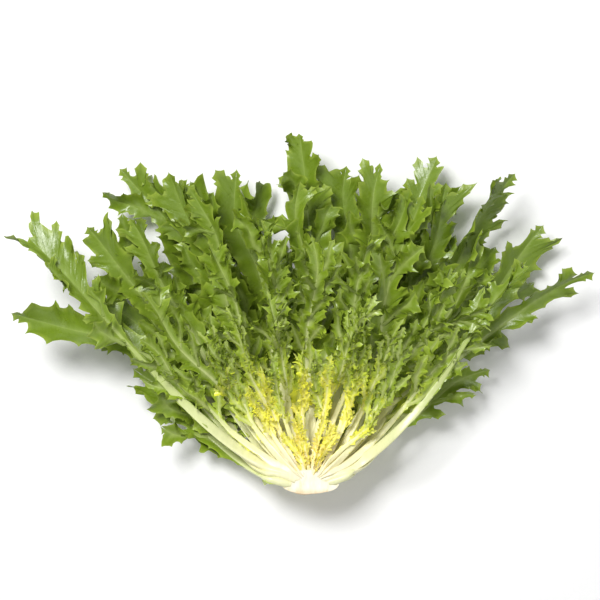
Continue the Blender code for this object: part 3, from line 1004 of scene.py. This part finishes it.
def own_style(node, style, spine):
    """The whorl's style for one leaf: leafy from low down in the middle of the fan, bare-stalked at its
    flanks, and with what sets the leaf apart."""
    own = SimpleNamespace(**vars(style))
    reach = spine.path[-1] - spine.path[0]
    flank = abs(reach[0]) / math.hypot(reach[0], reach[1])
    if style.wing > BROAD:
        own.bare = style.bare * (BARE_MIDDLE + BARE_FLANK * flank)
    own.wing = style.wing * (WING_MIDDLE - WING_FLANK * flank)
    own.twigs = round(style.twigs * (1 - FEWER_TWIGS * float(step(*FEWER_ZONE, flank))))
    own.pale = 1.0
    vars(own).update(OWN.get(node, {}))
    return own


FIRST_SEED = 1000
LEAF_TIP, LEAF_RIB_SHORT = (0.9, 1.4), 0.6  # length of its end lobe, and how much of that its rib leaves
TWIGS_BELOW, TWIGS_UP_TO = 0.05, 0.9  # how far below the blade twigs begin, and the share where they end
TWIG_PLACE, TWIG_LONG, TWIG_SHORTER = (0.1, 0.9), (0.7, 1.2), 0.35
RIPE_DISTANCE = 0.2  # metres from the crown to ripeness 1,
RIPE_HEIGHT = (1, 1, 0.6)  # where height counts less,
RIPE_VARIES, EDGE_PALER = 0.08, 0.03  # how much leaves differ, and how much less ripe their edges are


def leaf_piece(node, number, style, material, crown):
    """The frilly leaf that stands for one CAD leaf."""
    rng = np.random.default_rng(FIRST_SEED + number)
    spine = node_spine(node, crown, style, rng)
    style = own_style(node, style, spine)
    tip_long = rng.uniform(*LEAF_TIP) * style.finger
    tip_tone = rng.uniform(0, 1)
    parts = [rib(spine, style, rng, LEAF_RIB_SHORT * tip_long)]
    for side in (-1, 1):
        parts.append(blade(spine, style, side, rng, tip_long, tip_tone))
    for k in range(style.twigs):
        room = (TWIGS_UP_TO - style.bare) * (k + rng.uniform(*TWIG_PLACE)) / style.twigs
        share = style.bare - TWIGS_BELOW + room
        side = 1 if (k + number) % 2 else -1
        long = style.twig * rng.uniform(*TWIG_LONG) * (1 - TWIG_SHORTER * share)
        twig = twig_spine(spine, style, share * spine.length, side, long, rng)
        parts.extend(twig_parts(twig, style, rng))
    lean = rng.uniform(-RIPE_VARIES, RIPE_VARIES)

    def finish(points, facts):
        if whorl_of(node) in CUT_WHORLS:
            level_with_cut(points, crown)
        ease(points)
        far = np.linalg.norm((points - crown) * RIPE_HEIGHT, axis=1)
        # ripeness plus the whorl's offset, which is partly real deeper green and partly painted shade on the
        # outer, lower leaves
        return {"ripe": far / RIPE_DISTANCE + style.ripen + lean - EDGE_PALER * facts["edge"] ** 3}

    return build(node + "_frill", parts, material, finish)


CROWN_OVER_BUTT = 5 * MM

stump_low, stump_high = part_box("core")
crown = np.array([(stump_low.x + stump_high.x) / 2, stump_low.y + CROWN_OVER_BUTT, stump_high.z])

number = 0
for whorl, style in STYLES.items():
    material = leaf_material(whorl + "_leaf_green")
    for node in sorted(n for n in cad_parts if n.startswith(whorl + "_leaf_")):
        number += 1
        made = leaf_piece(node, number, style, material, crown)
        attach(made, "root")
        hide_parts(node)

stump = core_piece(crown)
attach(stump, "root")
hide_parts("core")

# ---- floor, light and camera

bpy.ops.mesh.primitive_plane_add(size=4.0, location=(0, 0, 0))
floor = bpy.context.object
floor.name = "floor"
floor.data.materials.append(floor_material())

STUDIO_LIGHT = 0.36

world = bpy.data.worlds.new("studio")
world.use_nodes = True
background = world.node_tree.nodes["Background"].inputs
background["Color"].default_value = (1, 1, 1, 1)
background["Strength"].default_value = STUDIO_LIGHT
scene.world = world
scene.view_settings.view_transform = "Standard"


def softbox(name, place, size, power):
    """A square lamp that points at the middle of the object."""
    light = bpy.data.lights.new(name, "AREA")
    light.size = size
    light.energy = power
    lamp = bpy.data.objects.new(name, light)
    lamp.location = place
    lamp.rotation_euler = (-Vector(place)).to_track_quat("-Z", "Y").to_euler()
    scene.collection.objects.link(lamp)


softbox("key", place=(-0.35, 0.45, 1.0), size=0.4, power=12.5)
softbox("fill", place=(0.7, -0.5, 0.9), size=0.9, power=2.0)

CAMERA_HEIGHT = 1.1
CAMERA_LEFT, CAMERA_BEHIND = 2 * MM, 7.6 * MM  # where it stands beside the middle of the CAD box
VIEW_WIDTH = 1.0225 * (cad_box[1].x - cad_box[0].x)
SENSOR = 36.0
middle = (cad_box[0] + cad_box[1]) / 2
camera_data = bpy.data.cameras.new("camera")
camera_data.sensor_width = SENSOR
camera_data.lens = SENSOR * (CAMERA_HEIGHT - middle.z) / VIEW_WIDTH
camera = bpy.data.objects.new("camera", camera_data)
camera.location = (middle.x - CAMERA_LEFT, middle.y + CAMERA_BEHIND, CAMERA_HEIGHT)
scene.collection.objects.link(camera)
bpy.context.scene.camera = camera

bpy.context.view_layer.update()
